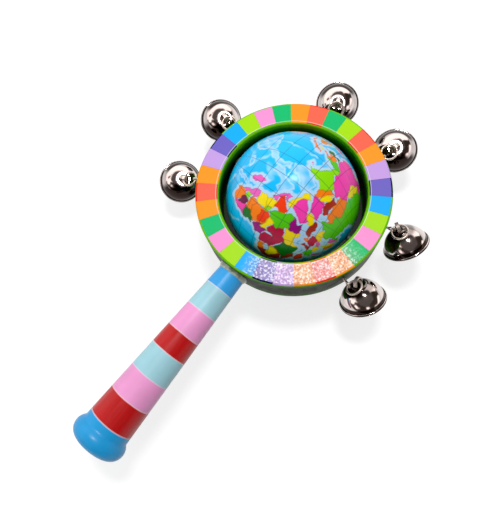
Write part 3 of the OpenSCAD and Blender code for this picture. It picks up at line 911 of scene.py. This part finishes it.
def turned(name, outline, place):
    """A closed solid of revolution round its own Z."""
    mesh = bpy.data.meshes.new(name)
    form = bmesh.new()
    rings = []
    for radius, height in outline:
        if radius == 0.0:
            rings.append([form.verts.new((0, 0, height))])
            continue
        ring = []
        for k in range(LATHE_STEPS):
            a = math.tau * k / LATHE_STEPS
            ring.append(form.verts.new((radius * math.cos(a), radius * math.sin(a), height)))
        rings.append(ring)
    for upper, lower in zip(rings, rings[1:]):
        for k in range(LATHE_STEPS):
            j = (k + 1) % LATHE_STEPS
            corners = [upper[k % len(upper)], upper[j % len(upper)]]
            corners += [lower[j % len(lower)], lower[k % len(lower)]]
            form.faces.new(list(dict.fromkeys(corners)))
    bmesh.ops.recalc_face_normals(form, faces=form.faces)
    form.to_mesh(mesh)
    form.free()
    mesh.transform(place)
    mesh.polygons.foreach_set("use_smooth", [True] * len(mesh.polygons))
    piece = bpy.data.objects.new(name, mesh)
    bpy.context.scene.collection.objects.link(piece)
    return piece


# The two bells that hang beside the ring and show their sides
DROOPING = (5, 6)


def painted_shade_at(number, reach, way):
    """How dark the painted shade and painted reflections make the plate, by its reach as a share of the
    rim's and its way in the picture's frame.
    """
    def band(low, high, soft):
        fade = 1 - smooth_step(reach, high - soft, high + soft)
        return smooth_step(reach, low - soft, low + soft) * fade
    # A painted dark edge round the lip, standing for its reflection.
    rim = 0.7 * smooth_step(reach, 0.972, 0.996)
    # Painted shade in the crease inside the rolled lip.
    groove = 1.1 * band(0.895, 0.95, 0.014)
    # Painted reflections of dark surroundings on the dome, by its way in the picture; the drooping bells get
    # a dark crown.
    if number in DROOPING:
        away_side = 0.55 + 0.45 * smooth_step(-way.x, -0.6, 0.5)
        dome = 0.95 * (1 - smooth_step(reach, 0.5, 0.72)) * away_side
    else:
        dome = 1.1 * band(0.72, 0.93, 0.05) * (0.3 + 0.7 * smooth_step(abs(way.y), 0.2, 0.75))
        dome = max(dome, band(0.34, 0.93, 0.1) * smooth_step(-way.y, 0.4, 0.8))
    return max(rim, groove, dome)


def bells(material):
    """Six turned domes in place of the solid ones, each with its own painted shade and painted reflections.
    """
    outline = bell_outline()
    to_picture = picture_from_part().to_3x3()
    for number in BELLS:
        place = bell_place(number)
        piece = turned(f"bell_dome_{number}", outline, place)
        back = place.inverted()
        turn = to_picture @ place.to_3x3()
        shades = []
        for vertex in piece.data.vertices:
            at = back @ vertex.co
            away = Vector((at.x, at.y, 0))
            reach = away.length / (DOME_R + BEAD_R)
            way = turn @ away.normalized() if reach > 0 else away
            shades.append(painted_shade_at(number, reach, way))
        # The painted shade and painted reflections, as a layer on the dome.
        layer = piece.data.attributes.new("painted_shade_layer", "FLOAT", "POINT")
        layer.data.foreach_set("value", shades)
        piece.data.materials.append(material)
        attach(piece, f"bell_{number}")
        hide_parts(f"bell_shell_{number}")


def dress_cad():
    """Gives every solid that stays its material."""
    paint = ring_paint()
    dress(paint, "ring_body", "north_axle_plug", "south_axle_plug")
    dress(print_film("front_print"), "front_print")
    dress(print_film("back_print"), "back_print")
    dress(handle_paint(), "handle")
    dress(glue(), "glue_collar")
    dress(plain("nylon", WHITE_NYLON, 0.5, 0.0, 500), "north_bush", "south_bush")
    dress(plain("dark_nylon", DARK_NYLON, 0.5, 0.0, 500), "north_spacer", "south_spacer")
    dress(axle_steel(), "globe_axle")
    wire = nickel("bright_nickel", WIRE_TINT, WIRE_TARNISH, WIRE_ROUGHNESS)
    clapper = plain("clapper_steel", CLAPPER_STEEL, 0.35, 1.0, 900)
    for number in BELLS:
        dress(wire, f"screw_eye_{number}", f"jump_ring_{number}", f"bell_bail_{number}")
        dress(clapper, f"clapper_wire_{number}", f"clapper_ball_{number}")


# Stage, light and camera. The part lies HANDLE_TURN degrees round in the picture. The
# shift is where the camera sees the point MEASURED_FACE_MM above the ring's centre.
CAMERA_TILTS = (-15.806, -5.102)
CAMERA_SHIFT_MM = (23.0, 31.8, -245.585)
HANDLE_TURN = 52.82
MEASURED_FACE_MM = 13.0
FOCAL_PX = 485.0
PHOTO_H = 505.0
SENSOR_MM = 36.0

# The floor, with a painted contact shadow under the ring
FLOOR_SIZE = 3.0
FLOOR_BOUNCE = 0.36
FLOOR_GLOW = 0.7
FLOOR_SHADE = 0.4
CONTACT_SHADOW_LEVEL = 0.02
CONTACT_SHADOW_REACH = (41 * MM, 55 * MM)
UNDER_BALL = (6.85 * MM, 5.2 * MM, 0.0)

# The lamp, with its direction in the picture's frame
LAMP_TOWARDS = (0.036, 0.21, 0.972)
LAMP_DISTANCE = 0.7
LAMP_SIZE = (0.16, 0.09)
LAMP_POWER = 2.6

# The room's light, with directions in the picture's frame, and what gloss sees in it
ROOM_TOWARDS = (-0.6, 0.55, 0.58)
ROOM_LEVELS = (0.18, 0.78)
PANELS_TOWARDS = (-0.5, 0.85, 0.1)
PANELS = [
    (0.0, (0.02, 0.014, 0.012, 1)), (0.44, (0.05, 0.036, 0.03, 1)), (0.5, (0.3, 0.26, 0.25, 1)),
    (0.55, (1.6, 1.45, 1.4, 1)), (1.0, (1.8, 1.7, 1.66, 1)),
]
LOW_WALL = (0.9, 0.9, 0.9, 1)
OVERHEAD_GAP = (0.1, 0.085, 0.08, 1)
HORIZON = (0.1, 0.22)
OVERHEAD = (0.82, 0.94)


def picture_from_part():
    """The turn from the part's frame to the photo's: X right and Y up in the picture, at the ring's face."""
    turn = Matrix.Rotation(math.radians(HANDLE_TURN), 4, "Z")
    drop = Matrix.Translation((0, 0, -MEASURED_FACE_MM * MM))
    return drop @ turn @ Matrix.Translation(-ring_centre)


def add_camera():
    """The camera at the place that the photo was fitted to."""
    tilt_x, tilt_y = (math.radians(v) for v in CAMERA_TILTS)
    to_camera = Matrix.Translation(Vector(CAMERA_SHIFT_MM) * MM)
    to_camera = to_camera @ Matrix.Rotation(tilt_y, 4, "Y") @ Matrix.Rotation(tilt_x, 4, "X")
    data = bpy.data.cameras.new("camera")
    data.sensor_width = SENSOR_MM
    data.lens = SENSOR_MM * FOCAL_PX / PHOTO_H
    data.clip_start = 0.01
    camera = bpy.data.objects.new("camera", data)
    bpy.context.scene.collection.objects.link(camera)
    camera.matrix_world = (to_camera @ picture_from_part()).inverted()
    bpy.context.scene.camera = camera


def add_floor():
    """A white floor at the lowest point, with a painted contact shadow under the ring. It keeps the shadow,
    and bounces less light than it shows.
    """
    bpy.ops.mesh.primitive_plane_add(size=FLOOR_SIZE, location=(ring_centre.x, 0, cad_box[0].z))
    floor = bpy.context.object
    floor.name = "floor"
    n = Nodes("floor")
    n.tree.nodes.remove(n.shader)
    x, y = n.axes(n.place(UNDER_BALL))[:2]
    reach = n.reach(x, y)
    path = n.tree.nodes.new("ShaderNodeLightPath")
    seen = n.math("MAXIMUM", path.outputs["Is Camera Ray"], path.outputs["Is Transmission Ray"])
    seen = n.math("MAXIMUM", seen, path.outputs["Is Glossy Ray"])
    bounce = n.tree.nodes.new("ShaderNodeBsdfDiffuse")
    bounce.inputs["Color"].default_value = (FLOOR_BOUNCE, FLOOR_BOUNCE, FLOOR_BOUNCE, 1)
    glow = n.tree.nodes.new("ShaderNodeEmission")
    # Painted contact shadow: the glow and the shade drop to almost nothing close to the point under the
    # ball.
    n.put(n.spread(reach, *CONTACT_SHADOW_REACH, CONTACT_SHADOW_LEVEL, FLOOR_GLOW), glow.inputs["Strength"])
    shade = n.tree.nodes.new("ShaderNodeBsdfDiffuse")
    n.put(n.spread(reach, *CONTACT_SHADOW_REACH, CONTACT_SHADOW_LEVEL, FLOOR_SHADE), shade.inputs["Color"])
    lit = n.tree.nodes.new("ShaderNodeAddShader")
    n.link(glow.outputs[0], lit.inputs[0])
    n.link(shade.outputs[0], lit.inputs[1])
    mix = n.tree.nodes.new("ShaderNodeMixShader")
    n.link(seen, mix.inputs[0])
    n.link(bounce.outputs[0], mix.inputs[1])
    n.link(lit.outputs[0], mix.inputs[2])
    n.link(mix.outputs[0], n.output.inputs["Surface"])
    floor.data.materials.append(n.material)


def add_world():
    """A white room, brighter from the picture's upper left. Gloss also shows its panels and dark gaps."""
    world = bpy.data.worlds.new("room")
    bpy.context.scene.world = world
    n = Tree(world)
    coords = n.tree.nodes.new("ShaderNodeTexCoord")
    turned_way = n.tree.nodes.new("ShaderNodeVectorRotate")
    turned_way.rotation_type = "Z_AXIS"
    turned_way.inputs["Angle"].default_value = math.radians(HANDLE_TURN)
    n.link(coords.outputs["Generated"], turned_way.inputs["Vector"])
    way = turned_way.outputs[0]
    height = n.axes(way)[2]

    def towards(direction):
        node = n.tree.nodes.new("ShaderNodeVectorMath")
        node.operation = "DOT_PRODUCT"
        n.link(way, node.inputs[0])
        node.inputs[1].default_value = Vector(direction).normalized()
        return node.outputs["Value"]

    level = n.spread(towards(ROOM_TOWARDS), -0.6, 1.0, *ROOM_LEVELS)
    patches = n.noise(way, 1.7, 1.0, 0.4)
    lean = n.math("MULTIPLY_ADD", towards(PANELS_TOWARDS), 0.22, patches)
    gloss = n.mix(n.spread(height, *HORIZON), LOW_WALL, n.ramp(lean, PANELS))
    overhead = n.spread(n.math("MULTIPLY_ADD", patches, 0.3, height), *OVERHEAD)
    gloss = n.mix(overhead, gloss, OVERHEAD_GAP)
    path = n.tree.nodes.new("ShaderNodeLightPath")
    colour = n.mix(path.outputs["Is Glossy Ray"], level, gloss)
    colour = n.mix(path.outputs["Is Camera Ray"], colour, (1, 1, 1, 1))
    background = n.tree.nodes.new("ShaderNodeBackground")
    n.link(colour, background.inputs["Color"])
    background.inputs["Strength"].default_value = 1.0
    output = n.tree.nodes.new("ShaderNodeOutputWorld")
    n.link(background.outputs[0], output.inputs["Surface"])


def add_lamp(name, towards, distance, size, power):
    """A soft panel, placed by its direction in the picture's own frame and aimed at the ring."""
    to_part = picture_from_part().inverted()
    data = bpy.data.lights.new(name, "AREA")
    data.shape = "RECTANGLE"
    data.size, data.size_y = size
    data.energy = power
    lamp = bpy.data.objects.new(name, data)
    bpy.context.scene.collection.objects.link(lamp)
    spot = to_part @ (Vector(towards).normalized() * distance)
    back = (spot - ring_centre).normalized()
    lamp.location = spot
    lamp.rotation_mode = "QUATERNION"
    lamp.rotation_quaternion = back.to_track_quat("Z", "Y")


dress_cad()
globe_ball()
bells(nickel("bell_nickel", BELL_TINT, BELL_TARNISH_AND_SHADE, BELL_ROUGHNESS, "painted_shade_layer"))
add_floor()
add_world()
add_lamp("overhead", LAMP_TOWARDS, LAMP_DISTANCE, LAMP_SIZE, LAMP_POWER)
add_camera()
bpy.context.scene.view_settings.view_transform = "Standard"
